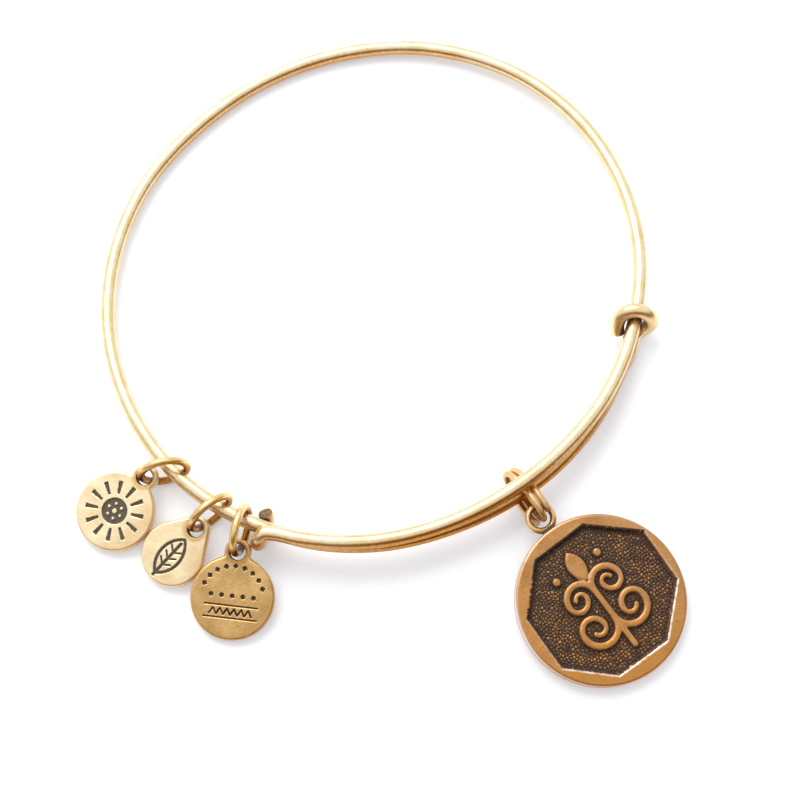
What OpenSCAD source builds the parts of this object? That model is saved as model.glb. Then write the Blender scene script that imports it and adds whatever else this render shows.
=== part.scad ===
// Expandable wire bangle: one springy wire wound once and a quarter round the wrist,
// each end wrapped round the other strand, with a large round pendant and three small charms.
// Millimetres. The bangle lies as it does on a table: the table is the plane z = 0.

/* [Bangle wire] */
// Thickness of the bangle's wire
wire_d = 1.7; // [1.5:0.05:1.75]
// Mean radius of the hoop, to the middle of the wire
hoop_r = 32.2; // [32.1:0.05:32.3]
// Gap between each end's wrap and the strand inside it
wrap_gap = 0.15; // [0.1:0.05:0.3]
// Flat sides round the wire
wire_sides = 12; // [8:2:16]
// Longest step along the wire
wire_step = 2.4; // [2:0.1:4]

/* [Pendant] */
// Diameter of the round pendant
pendant_d = 19.4; // [18.8:0.1:19.5]
// Thickness of the pendant at its rim
pendant_t = 1.7; // [1.4:0.1:1.8]
// Depth of the eight-sided field below the rim
field_depth = 0.5; // [0.3:0.05:0.7]
// Mean corner radius of the eight-sided field, as a share of the pendant's radius
field_share = 0.91; // [0.85:0.005:0.92]
// How far the scroll stands up from the field
scroll_h = 0.45; // [0.3:0.05:0.5]

/* [Charms] */
// Thickness of the three small charms
charm_t = 1.2; // [0.9:0.05:1.2]
// Diameter of the charm with the sunburst
sun_d = 9.2; // [8.5:0.1:9.2]
// Diameter of the drop's round end
drop_d = 7.4; // [7:0.1:7.4]
// Diameter of the charm with the ruled lines
lined_d = 9.5; // [9:0.1:9.6]
// Diameter of the hole in each small charm
charm_hole_d = 1.85; // [1.85:0.05:1.9]
// Depth of the cut patterns
cut_depth = 0.22; // [0.15:0.01:0.3]

/* [Rings] */
// Outer diameter of the three small jump rings
ring_d = 6.15; // [6.1:0.05:6.2]
// Thickness of a small jump ring's wire
ring_wire_d = 0.85; // [0.7:0.05:0.85]
// Half the length of the pendant's oval ring, to the middle of its wire
oval_long = 3.5; // [3.45:0.05:3.55]
// Half the width of the pendant's oval ring, to the middle of its wire
oval_short = 1.75; // [1.7:0.05:1.8]
// Thickness of the oval ring's wire
oval_wire_d = 0.75; // [0.65:0.05:0.75]

/* [Hidden] */
$fn = 64;

// Where the middle of the hoop lies from the origin
hoop_at = [-0.3, 6.8, 0];

antique_gold = "#d9ae62";
pale_gold = "#e6c078";
bronze_gold = "#b98a4b";

// The strands, anticlockwise from the wrap at the lower left.
// Columns: turn in degrees, distance outside hoop_r, height of the wire's middle.
// The first rows are the upper strand of the overlap and the last rows its lower strand.
strand_rows = [
    [254,  0.12, 4.80],
    [270, -0.80, 4.90],
    [286, -1.75, 5.10],
    [302, -2.35, 5.40],
    [316, -2.60, 4.60],
    [330, -2.35, 3.70],
    [343, -1.95, 3.00],
    [352, -1.60, 2.82],
    [368, -0.65, 2.55],
    [382,  0.10, 2.30],
    [401,  1.00, 1.90],
    [420,  1.35, 1.50],
    [440,  0.90, 1.15],
    [460, -0.05, 0.93],
    [477, -0.70, 0.87],
    [495, -1.05, 0.93],
    [513, -0.70, 1.10],
    [532, -0.40, 1.40],
    [552, -0.05, 1.75],
    [571,  0.15, 2.15],
    [589,  0.25, 2.60],
    [598,  0.10, 2.78],
    [606, -0.15, 2.85],
    [616, -0.30, 2.78],
    [630, -0.90, 2.55],
    [646, -1.70, 2.35],
    [662, -2.05, 2.22],
    [676, -2.18, 1.70],
    [690, -2.15, 1.20],
    [701, -1.92, 0.93]
];

// Where each wrap sits. Columns: turn in degrees, distance outside hoop_r, height of the
// strand inside it, and slack beyond wrap_gap.
left_wrap_at = [246, -0.15, 2.85, 0.00];
right_wrap_at = [352, -1.60, 2.82, 0.12];

// The wraps. Columns: distance along the strand inside, away from the overlap,
// and angle round that strand, 0 outside the hoop and 90 above.
left_wrap_rows = [
    [0.30, -164], [0.05, -142], [-0.20, -115], [-0.38, -80],
    [-0.46, -42], [-0.48, -2], [-0.58, 36], [-1.02, 64], [-1.90, 75]
];
right_wrap_rows = [
    [-2.60, -85], [-1.35, -80], [-0.65, -62], [-0.25, -30], [0.00, 5], [0.22, 42],
    [0.38, 80], [0.25, 117], [-0.20, 152], [-0.95, 182], [-1.70, 208]
];

// A point of the hoop, from a row of turn, distance outside and height
function on_hoop(row) = [
    (hoop_r + row[1]) * cos(row[0]), (hoop_r + row[1]) * sin(row[0]), row[2]
];

// A point of a wrap round the strand at a place on the hoop; side is 1 where
// the overlap lies before that place, and -1 where it lies after it
function on_wrap(place, side, row) =
    let (wrap_r = wire_d + wrap_gap + place[3])
    on_hoop(place)
    + side * row[0] * [-sin(place[0]), cos(place[0]), 0]
    + wrap_r * cos(row[1]) * [cos(place[0]), sin(place[0]), 0]
    + wrap_r * sin(row[1]) * [0, 0, 1];

wire_nodes = concat(
    [for (row = left_wrap_rows) on_wrap(left_wrap_at, -1, row)],
    [for (row = strand_rows) on_hoop(row)],
    [for (row = right_wrap_rows) on_wrap(right_wrap_at, 1, row)]
);

function unit(v) = v / norm(v);

// Slope of a smooth curve through the points at point i, for each millimetre of chord
function slope(p, i) =
    let (last = len(p) - 1)
    i == 0 ? unit(p[1] - p[0]) :
    i == last ? unit(p[last] - p[last - 1]) :
    let (before = norm(p[i] - p[i - 1]), after = norm(p[i + 1] - p[i]))
    ((p[i] - p[i - 1]) / before * after + (p[i + 1] - p[i]) / after * before) / (before + after);

// A point between points i and i + 1, at the share t of the way
function between(p, i, t) =
    let (d = norm(p[i + 1] - p[i]), a = slope(p, i) * d, b = slope(p, i + 1) * d)
    (2 * t * t * t - 3 * t * t + 1) * p[i] + (t * t * t - 2 * t * t + t) * a
    + (3 * t * t - 2 * t * t * t) * p[i + 1] + (t * t * t - t * t) * b;

// The smooth curve through the points, in steps of at most the given length
function smooth_path(p, step) = concat(
    [for (i = [0 : len(p) - 2])
        let (pieces = max(2, ceil(norm(p[i + 1] - p[i]) / step)))
        for (k = [0 : pieces - 1]) between(p, i, k / pieces)],
    [p[len(p) - 1]]
);

// Direction of a path at each of its points
function headings(path) = [
    for (i = [0 : len(path) - 1])
        unit(path[min(i + 1, len(path) - 1)] - path[max(i - 1, 0)])
];

// A side direction at each point of a path, carried along it without twist
function side_ways(along) = [
    for (i = 0, way = unit(cross(along[0], [0.1, 0.2, 1]));
         i < len(along);
         i = i + 1,
         way = i < len(along) ? unit(way - (way * along[i]) * along[i]) : way)
        way
];

// A round wire swept along a path
module swept_wire(path, diameter, sides) {
    along = headings(path);
    ways = side_ways(along);
    last = len(path) - 1;
    points = [
        for (i = [0 : last], k = [0 : sides - 1])
            let (turn = 360 * k / sides, across = cross(along[i], ways[i]))
            path[i] + diameter / 2 * (cos(turn) * ways[i] + sin(turn) * across)
    ];
    walls = [
        for (i = [0 : last - 1], k = [0 : sides - 1])
            let (n = (k + 1) % sides)
            [i * sides + k, (i + 1) * sides + k, (i + 1) * sides + n, i * sides + n]
    ];
    first_end = [for (k = [0 : sides - 1]) k];
    last_end = [for (k = [sides - 1 : -1 : 0]) last * sides + k];
    polyhedron(points, concat(walls, [first_end, last_end]), convexity = 10);
}

module bangle_wire() {
    color(antique_gold)
        translate(hoop_at)
            swept_wire(smooth_path(wire_nodes, wire_step), wire_d, wire_sides);
}

// The small jump rings stand on the table, round the wire and through a charm's hole.
// Columns: x and y of the middle, the way each faces, lean from upright, place of its fine cut.
sun_ring_stand = [-24.20, -22.82, 13.2, -7.3, -75];
drop_ring_stand = [-18.78, -27.68, 39.4, -4.8, -45];
lined_ring_stand = [-15.24, -29.72, 76.2, -7.0, -35];

ring_r = (ring_d - ring_wire_d) / 2;
// Angle of the fine cut where a jump ring was closed
ring_cut = 2.5;

// Puts a shape that is drawn flat upright at a place, facing a way and leaning back
module upright(place, facing, lean) {
    translate(hoop_at + place) rotate([90 + lean, 0, facing]) children();
}

module jump_ring(stand) {
    height = ring_r * cos(stand[3]) + ring_wire_d / 2;
    upright([stand[0], stand[1], height], stand[2], stand[3])
        rotate([0, 0, stand[4] + ring_cut / 2])
            rotate_extrude(angle = 360 - ring_cut, $fn = 96)
                translate([ring_r, 0]) circle(d = ring_wire_d, $fn = 32);
}

module sun_charm_ring() {
    color(pale_gold) jump_ring(sun_ring_stand);
}

module drop_charm_ring() {
    color(pale_gold) jump_ring(drop_ring_stand);
}

module lined_charm_ring() {
    color(antique_gold) jump_ring(lined_ring_stand);
}

// The pendant's ring: an oval link of nearly two turns side by side, like a key ring's.
// Its visible end lies over the pendant's eyelet, and the middle of its upper side is at 90 degrees.
oval_at = [17.10, -25.54, 2.38];
oval_facing = -58.5;
oval_lean = -5.7;
oval_tilt = 15.5;
oval_turns = 1.9;
oval_start = 20;
oval_pitch = oval_wire_d + 0.1;
oval_steps = 64;
oval_sides = 8;

function oval_point(k) =
    let (turn = oval_start + 360 * oval_turns * k / oval_steps)
    [oval_long * cos(turn), oval_short * sin(turn), oval_pitch * oval_turns * (k / oval_steps - 0.5)];

module pendant_ring() {
    color(antique_gold)
        upright(oval_at, oval_facing, oval_lean) rotate([0, 0, oval_tilt])
            swept_wire([for (k = [0 : oval_steps]) oval_point(k)], oval_wire_d, oval_sides);
}

// A charm or the pendant lies on its far edge, with its hole end lifted by its ring.
// Columns: x and y of the middle of its back, way of its hole, way of its lift, lift.
sun_charm_lie = [-29.65, -27.05, 47.2, 53, 12.7];
drop_charm_lie = [-22.89, -32.02, 45.2, 50, 14.3];
lined_charm_lie = [-16.08, -37.03, 83.3, 82, 12.2];
pendant_lie = [25.15, -37.40, 127, 127, 5.5];

// In its own frame a disc has its middle at the origin, its back at z = 0 and its hole
// towards +Y. Its rounded far edge just touches the table.
module lying(lie, edge_r, edge) {
    lift = lie[4];
    rest = (edge_r - edge) * sin(lift) + edge * (1 - cos(lift));
    translate(hoop_at + [lie[0], lie[1], rest])
        rotate([0, 0, lie[3]]) rotate([0, -lift, 0]) rotate([0, 0, lie[2] - 90 - lie[3]])
            children();
}

// A disc with softly rounded edges
module soft_disc(d, t, edge) {
    rotate_extrude($fn = 96) {
        square([d / 2 - edge, t]);
        translate([0, edge]) square([d / 2, t - 2 * edge]);
        for (z = [edge, t - edge]) translate([d / 2 - edge, z]) circle(edge, $fn = 24);
    }
}

// A bar bent round a centre, lying on z = 0
module arc_bar(centre, radius, from, to, width, height) {
    translate([centre[0], centre[1], 0]) rotate([0, 0, min(from, to)])
        rotate_extrude(angle = abs(to - from), $fn = 64)
            translate([radius - width / 2, 0]) square([width, height]);
}

// A straight bar from one point to another, lying on z = 0
module straight_bar(from, to, width, height) {
    way = to - from;
    translate([from[0], from[1], 0]) rotate([0, 0, atan2(way[1], way[0])])
        translate([0, -width / 2, 0]) cube([norm(way), width, height]);
}

// The charms' common sizes, and how far each hole is from its disc's middle
sun_hole_y = 5.12;
drop_hole_y = 3.88;
lined_hole_y = 5.16;
tab_d = 3.0;
charm_edge = 0.3;
cut_z = charm_t - cut_depth;

module charm_hole(hole_y) {
    translate([0, hole_y, -1]) cylinder(d = charm_hole_d, h = charm_t + 2, $fn = 48);
}

// The round charm with its tab and hole, without a pattern
module tabbed_disc(d, hole_y) {
    neck_w = tab_d - charm_edge;
    neck_l = tab_d / 2;
    difference() {
        union() {
            soft_disc(d, charm_t, charm_edge);
            translate([0, hole_y, 0]) soft_disc(tab_d, charm_t, charm_edge);
            translate([-neck_w / 2, hole_y - neck_l, charm_edge / 2])
                cube([neck_w, neck_l, charm_t - charm_edge]);
        }
        charm_hole(hole_y);
    }
}

// Sunburst: a sunk round field with raised beads, and rays round it
sun_field_r = 1.5;
sun_bead_r = 0.18;
sun_bead_ring_r = 0.85;
sun_middle_bead_r = 0.29;
sun_rays = 12;
sun_ray_from = 2.0;
sun_ray_to = 3.45;
sun_ray_root = 0.26;
sun_ray_tip = 0.48;

module sun_cuts() {
    translate([0, 0, cut_z]) {
        difference() {
            cylinder(r = sun_field_r, h = 1, $fn = 48);
            for (turn = [0 : 60 : 300]) rotate([0, 0, turn]) translate([sun_bead_ring_r, 0, -1])
                cylinder(r = sun_bead_r, h = 3, $fn = 16);
            translate([0, 0, -1]) cylinder(r = sun_middle_bead_r, h = 3, $fn = 16);
        }
        for (k = [0 : sun_rays - 1]) rotate([0, 0, 360 * k / sun_rays])
            linear_extrude(1) polygon([
                [sun_ray_from, -sun_ray_root / 2], [sun_ray_to, -sun_ray_tip / 2],
                [sun_ray_to, sun_ray_tip / 2], [sun_ray_from, sun_ray_root / 2]
            ]);
    }
}

module sun_charm() {
    color(pale_gold)
        lying(sun_charm_lie, sun_d / 2, charm_edge) difference() {
            tabbed_disc(sun_d, sun_hole_y);
            sun_cuts();
        }
}

// The drop: two round ends joined by their common tangents
drop_tip_d = 3.1;

// The flat between the drop's two ends, drawn in from its outline by a margin
module drop_sides(margin) {
    big = drop_d / 2;
    small = drop_tip_d / 2;
    tilt = asin((big - small) / drop_hole_y);
    polygon([
        for (side = [1, -1], end = side == 1 ? [0, 1] : [1, 0])
            let (r = (end == 0 ? big : small) - margin)
            [side * r * cos(tilt), end * drop_hole_y + r * sin(tilt)]
    ]);
}

module drop_body() {
    difference() {
        union() {
            soft_disc(drop_d, charm_t, charm_edge);
            translate([0, drop_hole_y, 0]) soft_disc(drop_tip_d, charm_t, charm_edge);
            translate([0, 0, charm_edge / 2]) linear_extrude(charm_t - charm_edge) drop_sides(0);
            linear_extrude(charm_t) drop_sides(charm_edge);
        }
        charm_hole(drop_hole_y);
    }
}

// Leaf: two arcs that meet in points, a midrib with a stalk, and three pairs of veins
leaf_r = 3.1;
leaf_half = 2.5;
leaf_line = 0.32;
leaf_y = -0.35;
leaf_stalk = 0.3;
vein_ys = [-1.3, -0.4, 0.5];
vein_out = 0.75;
vein_up = 0.6;
vein_line = 0.2;

module leaf_cuts() {
    centre = sqrt(leaf_r * leaf_r - leaf_half * leaf_half);
    sweep = asin(leaf_half / leaf_r);
    translate([0, leaf_y, cut_z]) {
        arc_bar([-centre, 0], leaf_r, -sweep, sweep, leaf_line, 1);
        arc_bar([centre, 0], leaf_r, 180 - sweep, 180 + sweep, leaf_line, 1);
        straight_bar([0, -leaf_half - leaf_stalk], [0, leaf_half - 2 * leaf_stalk], leaf_line, 1);
        for (y = vein_ys, side = [-1, 1])
            straight_bar([0, y], [side * vein_out, y + vein_up], vein_line, 1);
    }
}

module drop_charm() {
    color(pale_gold)
        lying(drop_charm_lie, drop_d / 2, charm_edge) difference() {
            drop_body();
            leaf_cuts();
        }
}

// An arc of small diamonds, a row of round pits, and two ruled lines with a zigzag between
diamond_arc_r = 3.55;
diamond_d = 0.62;
diamond_step = 17;
diamonds = 9;
pit_d = 0.5;
pit_step = 1.2;
pits = 5;
pit_y = 0.2;
rule_ys = [-0.9, -2.3];
rule_half = 3.0;
rule_line = 0.14;
zigzag_step = 0.4;
zigzags = 12;
zigzag_ys = [-1.95, -1.25];
zigzag_line = 0.16;

module lined_cuts() {
    translate([0, 0, cut_z]) {
        for (k = [0 : diamonds - 1])
            rotate([0, 0, 90 + (k - (diamonds - 1) / 2) * diamond_step])
                translate([diamond_arc_r, 0, 0]) cylinder(d = diamond_d, h = 1, $fn = 4);
        for (k = [0 : pits - 1])
            translate([(k - (pits - 1) / 2) * pit_step, pit_y, 0]) cylinder(d = pit_d, h = 1, $fn = 16);
        for (y = rule_ys) straight_bar([-rule_half, y], [rule_half, y], rule_line, 1);
        for (k = [0 : zigzags - 1])
            straight_bar(
                [(k - zigzags / 2) * zigzag_step, zigzag_ys[k % 2]],
                [(k + 1 - zigzags / 2) * zigzag_step, zigzag_ys[(k + 1) % 2]],
                zigzag_line, 1);
    }
}

module lined_charm() {
    color(bronze_gold)
        lying(lined_charm_lie, lined_d / 2, charm_edge) difference() {
            tabbed_disc(lined_d, lined_hole_y);
            lined_cuts();
        }
}

// The pendant: a disc with an eight-sided field, a raised scroll and a soldered eyelet
pendant_r = pendant_d / 2;
pendant_edge = 0.35;
field_z = pendant_t - field_depth;
// The field's corners, as uneven as hand work. Columns: turn, and distance beyond the
// mean corner radius as a share of the pendant's radius.
field_corners = [
    [20, 0.045], [66, -0.02], [113, -0.03], [159, 0.00],
    [202, 0.025], [245, -0.01], [291, -0.015], [338, 0.025]
];
// The eyelet's wire, its radius to the middle of the wire, its place and its turn off the middle
eyelet_wire_d = 0.74;
eyelet_r = 1.45;
eyelet_y = 11.35;
eyelet_turn = -1.3;
// Solder between the eyelet and the disc: width, length and thickness
web_w = 1.6;
web_l = 1.0;
web_t = 0.66;

// Scroll rows, mirrored left and right. Columns: centre x, centre y, radius,
// start angle, end angle, width of the bar.
scroll_rows = [
    [2.10, -2.30, 2.10,  180, 360, 0.85],
    [2.80, -2.30, 1.40,    0, 180, 0.75],
    [2.20, -2.30, 0.80,  180, 330, 0.62],
    [1.75,  1.30, 1.75,    0, 180, 0.80],
    [2.35,  1.30, 1.15, -180,   0, 0.70],
    [1.85,  1.30, 0.65,   20, 180, 0.58]
];
// How far the scroll's foot sinks into the disc
scroll_foot = 0.05;
stem_w = 0.76;
stem_from = -6.3;
stem_to = 2.2;
bud_r = 2.3;
bud_half = 1.95;
bud_y = 4.6;
dot_d = 1.0;
dot_at = [2.9, 4.5, 0];

module scroll() {
    height = scroll_h + scroll_foot;
    bud_centre = sqrt(bud_r * bud_r - bud_half * bud_half);
    translate([0, 0, field_z - scroll_foot]) {
        for (side = [0, 1]) mirror([side, 0, 0]) {
            for (row = scroll_rows)
                arc_bar([row[0], row[1]], row[2], row[3], row[4], row[5], height);
            translate(dot_at) cylinder(d = dot_d, h = height, $fn = 24);
        }
        straight_bar([0, stem_from], [0, stem_to], stem_w, height);
        translate([0, bud_y, 0]) intersection() {
            translate([-bud_centre, 0, 0]) cylinder(r = bud_r, h = height);
            translate([bud_centre, 0, 0]) cylinder(r = bud_r, h = height);
        }
    }
}

module eyelet() {
    rotate([0, 0, eyelet_turn]) {
        translate([0, eyelet_y, pendant_t / 2])
            rotate_extrude() translate([eyelet_r, 0]) circle(d = eyelet_wire_d, $fn = 24);
        translate([-web_w / 2, pendant_r - web_l / 2, (pendant_t - web_t) / 2])
            cube([web_w, web_l, web_t]);
    }
}

module round_pendant() {
    color(bronze_gold)
        lying(pendant_lie, pendant_r, pendant_edge) {
            difference() {
                soft_disc(pendant_d, pendant_t, pendant_edge);
                translate([0, 0, field_z]) linear_extrude(field_depth + 1)
                    polygon([for (row = field_corners)
                        pendant_r * (field_share + row[1]) * [cos(row[0]), sin(row[0])]]);
            }
            scroll();
            eyelet();
        }
}

bangle_wire();
round_pendant();
pendant_ring();
sun_charm();
sun_charm_ring();
drop_charm();
drop_charm_ring();
lined_charm();
lined_charm_ring();
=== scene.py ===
"""Looks of the expandable wire bangle: smooth metal pieces in place of the plain solids.

Lengths are millimetres, as in the part's source, and MM turns them into metres. Angles are in
degrees. Colours are linear red, green and blue.
"""

import math

import bpy
import numpy as np
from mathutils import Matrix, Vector, geometry


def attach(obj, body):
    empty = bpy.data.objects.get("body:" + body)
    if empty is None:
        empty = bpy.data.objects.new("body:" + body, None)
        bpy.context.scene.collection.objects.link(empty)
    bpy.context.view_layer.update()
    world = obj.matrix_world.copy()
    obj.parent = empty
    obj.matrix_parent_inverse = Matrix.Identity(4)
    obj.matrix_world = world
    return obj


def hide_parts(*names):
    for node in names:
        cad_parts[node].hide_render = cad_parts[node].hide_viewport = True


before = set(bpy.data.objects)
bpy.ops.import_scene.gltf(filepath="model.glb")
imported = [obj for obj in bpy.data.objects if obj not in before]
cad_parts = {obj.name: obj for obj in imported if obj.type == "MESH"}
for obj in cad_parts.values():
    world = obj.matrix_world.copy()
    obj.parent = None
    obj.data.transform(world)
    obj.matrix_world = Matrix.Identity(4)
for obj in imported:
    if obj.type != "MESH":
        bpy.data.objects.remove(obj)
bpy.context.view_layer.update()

MM = 0.001
HOOP_AT = np.array([-0.3, 6.8, 0.0])
RNG = np.random.default_rng(7)

# Camera

PHOTO_WIDTH = 800
FOCAL_PIXELS = 1702
SENSOR_WIDTH = 36
CAMERA_ELEVATION = 72
CAMERA_DISTANCE = 200
CAMERA_NEAR = 10
LOOK_AT = np.array([2.40, -6.50, 0.0])

def added(name, data):
    """A new object in the scene."""
    thing = bpy.data.objects.new(name, data)
    bpy.context.scene.collection.objects.link(thing)
    return thing

def make_camera():
    """A camera on the viewer's side that looks down at the photo's angle."""
    elevation = math.radians(CAMERA_ELEVATION)
    towards = np.array([0, -math.cos(elevation), math.sin(elevation)])
    data = bpy.data.cameras.new("camera")
    data.sensor_width = SENSOR_WIDTH
    data.lens = SENSOR_WIDTH * FOCAL_PIXELS / PHOTO_WIDTH
    data.clip_start = CAMERA_NEAR * MM
    camera = added("camera", data)
    camera.location = LOOK_AT * MM + CAMERA_DISTANCE * MM * towards
    camera.rotation_euler = (math.pi / 2 - elevation, 0, 0)
    bpy.context.scene.camera = camera

# Shader nodes

def node_maker(tree):
    """A function that adds a node, sets its plain inputs and links its linked ones."""

    def make(kind, values=(), **settings):
        node = tree.nodes.new(kind)
        for name, value in settings.items():
            setattr(node, name, value)
        for key, value in dict(values).items():
            if isinstance(value, bpy.types.NodeSocket):
                tree.links.new(value, node.inputs[key])
            else:
                node.inputs[key].default_value = value
        return node

    return make

def ramp(make, amount, stops, interpolation="LINEAR"):
    """A colour ramp; stops are (place, colour or grey level)."""
    node = make("ShaderNodeValToRGB", {"Fac": amount})
    node.color_ramp.interpolation = interpolation
    while len(node.color_ramp.elements) < len(stops):
        node.color_ramp.elements.new(0.5)
    for element, (place, colour) in zip(node.color_ramp.elements, stops):
        element.position = place
        grey = isinstance(colour, (int, float))
        element.color = (colour, colour, colour, 1) if grey else (*colour, 1)
    return node.outputs["Color"]

def maths(make, operation, *inputs, clamp=False):
    node = make("ShaderNodeMath", enumerate(inputs), operation=operation, use_clamp=clamp)
    return node.outputs[0]

def spread(make, amount, low, high):
    """An amount from 0 to 1 brought to the range from low to high."""
    values = {"Value": amount, "To Min": low, "To Max": high}
    return make("ShaderNodeMapRange", values).outputs[0]

def mix(make, amount, colour, other):
    """A linked colour, turned into the other one by the amount."""
    values = {"Factor": amount, "A": colour, "B": (*other, 1)}
    return make("ShaderNodeMix", values, data_type="RGBA").outputs["Result"]

def noise(make, place, scale, detail, roughness):
    values = {"Vector": place, "Scale": scale, "Detail": detail, "Roughness": roughness}
    return make("ShaderNodeTexNoise", values).outputs["Fac"]

def mark(make, name):
    """One of the marks that the meshes carry at their points."""
    return make("ShaderNodeAttribute", attribute_name=name).outputs["Fac"]

# Light and floor

# The way to the light side of the dome
DOME_LIGHT_WAY = (-0.18, 0.60, 0.78)
# Columns: place from the dark side to the light side, colour
DOME_COLOURS = [
    (0.00, (0.50, 0.40, 0.32)),
    (0.28, (0.32, 0.19, 0.09)),
    (0.52, (0.28, 0.17, 0.08)),
    (0.61, (0.70, 0.66, 0.62)),
    (0.70, (0.92, 0.95, 1.00)),
    (1.00, (0.96, 0.99, 1.04)),
]
FLOOR_HALF = 1500
FLOOR_DROP = 0.03
FLOOR_LOOK = {
    "Base Color": (0.86, 0.865, 0.875, 1),
    "Emission Color": (0.91, 1.0, 1.11, 1),
    "Emission Strength": 0.27,
    "Roughness": 0.9,
    "Specular IOR Level": 0.1,
}

def make_world():
    """A white dome that is darker low down on the viewer's side, as a room is."""
    world = bpy.data.worlds.new("studio")
    bpy.context.scene.world = world
    world.use_nodes = True
    tree = world.node_tree
    tree.nodes.clear()
    make = node_maker(tree)
    way = make("ShaderNodeTexCoord").outputs["Generated"]
    dot = make("ShaderNodeVectorMath", {0: way, 1: DOME_LIGHT_WAY}, operation="DOT_PRODUCT")
    place = maths(make, "MULTIPLY_ADD", dot.outputs["Value"], 0.5, 0.5)
    shade = ramp(make, place, DOME_COLOURS, "EASE")
    back = make("ShaderNodeBackground", {"Color": shade, "Strength": 1.0})
    out = make("ShaderNodeOutputWorld")
    tree.links.new(back.outputs[0], out.inputs["Surface"])

def area_light(name, azimuth, elevation, distance, size, power, colour):
    """A soft round panel that points at the bracelet."""
    data = bpy.data.lights.new(name, "AREA")
    data.shape = "DISK"
    data.size = size * MM
    data.energy = power
    data.color = colour
    light = added(name, data)
    a, e = math.radians(azimuth), math.radians(elevation)
    way = Vector((math.cos(a) * math.cos(e), math.sin(a) * math.cos(e), math.sin(e)))
    light.location = way * (distance * MM)
    light.rotation_euler = way.to_track_quat("Z", "Y").to_euler()

def make_floor():
    """A pale floor that glows a little, just below the bracelet."""
    mesh = bpy.data.meshes.new("floor")
    half = FLOOR_HALF * MM
    corners = [(-half, -half, 0), (half, -half, 0), (half, half, 0), (-half, half, 0)]
    mesh.from_pydata(corners, [], [(0, 1, 2, 3)])
    floor = added("floor", mesh)
    floor.location.z = -FLOOR_DROP * MM
    material = bpy.data.materials.new("floor")
    material.use_nodes = True
    shader = material.node_tree.nodes["Principled BSDF"]
    for name, value in FLOOR_LOOK.items():
        shader.inputs[name].default_value = value
    mesh.materials.append(material)

view = bpy.context.scene.view_settings
view.view_transform = "Standard"
view.look = "None"
make_camera()
make_world()
area_light(
    "key", azimuth=118, elevation=50, distance=600, size=500, power=2.2, colour=(1.0, 0.97, 0.92)
)
make_floor()

# Metals

# Noise scales are in features a metre
CLOUD_SCALE = 420
SPOT_SCALE = 3300
GRAIN_SCALE = 9000
GRAIN_DEPTH = 0.04
# Columns: noise, or patina and painted shade, how far it shows
SPECK_STOPS = [(0.56, 0.0), (0.74, 1.0)]
PATINA_STOPS = [(0.22, 0.0), (0.78, 1.0)]
# What is added to a metal's roughness in its smoothest and its roughest clouds, under patina
# and painted shade, and where there is wear and painted highlight
CLOUD_ROUGH = (-0.07, 0.09)
PATINA_ROUGH = 0.22
WORN_ROUGH = -0.12

def metal(
    name, light, deep, tarnish_and_shade, patina_and_shade, rough, grain, specks,
    mottle=0.5, dark_metallic=0.55, polish_and_highlight=None,
):
    """Satin metal: light and deep tones in soft clouds, a warm tarnish and a dark patina where the
    mesh's marks of those names are high, and bright polish where it is worn. Besides real
    tarnish, patina and wear, these marks and colours also paint shade, dark reflections and
    highlights."""
    material = bpy.data.materials.new(name)
    material.use_nodes = True
    tree = material.node_tree
    make = node_maker(tree)
    shader = tree.nodes["Principled BSDF"]

    place = make("ShaderNodeTexCoord").outputs["Object"]
    clouded = noise(make, place, CLOUD_SCALE, 5, 0.62)
    spots = noise(make, place, SPOT_SCALE, 4, 0.7)
    grains = noise(make, place, GRAIN_SCALE, 3, 0.6)
    patina_and_shade_at, wear_and_highlight_at, tarnish_and_shade_at = (mark(make, key) for key in ("patina_and_shade", "wear_and_highlight", "tarnish_and_shade"))

    tone = ramp(make, clouded, [(0.5 - 0.35 * mottle, deep), (0.5 + 0.25 * mottle, light)])
    uneven = maths(make, "MULTIPLY_ADD", spots, 1.2, 0.4)
    tone = mix(make, maths(make, "MULTIPLY", uneven, tarnish_and_shade_at, clamp=True), tone, tarnish_and_shade)
    speck = ramp(make, spots, SPECK_STOPS)
    tone = mix(make, maths(make, "MULTIPLY", speck, specks), tone, patina_and_shade)
    polish_and_highlight = polish_and_highlight or tuple(min(1.0, 1.12 * c + 0.05) for c in light)
    tone = mix(make, wear_and_highlight_at, tone, polish_and_highlight)
    # The border of the patina and painted shade follows the spots
    spotty = maths(make, "MULTIPLY_ADD", maths(make, "SUBTRACT", spots, 0.5), 0.6, patina_and_shade_at)
    cover = ramp(make, spotty, PATINA_STOPS, "EASE")
    tone = mix(make, cover, tone, patina_and_shade)

    roughness = spread(make, clouded, *(rough + more for more in CLOUD_ROUGH))
    roughness = maths(make, "MULTIPLY_ADD", cover, PATINA_ROUGH, roughness)
    roughness = maths(make, "MULTIPLY_ADD", wear_and_highlight_at, WORN_ROUGH, roughness)
    height = maths(make, "MULTIPLY_ADD", grains, 0.6, spots)
    relief = {"Height": height, "Strength": grain, "Distance": GRAIN_DEPTH * MM}
    bump = make("ShaderNodeBump", relief)
    tree.links.new(tone, shader.inputs["Base Color"])
    tree.links.new(spread(make, cover, 1.0, dark_metallic), shader.inputs["Metallic"])
    tree.links.new(roughness, shader.inputs["Roughness"])
    tree.links.new(bump.outputs["Normal"], shader.inputs["Normal"])
    return material

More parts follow.
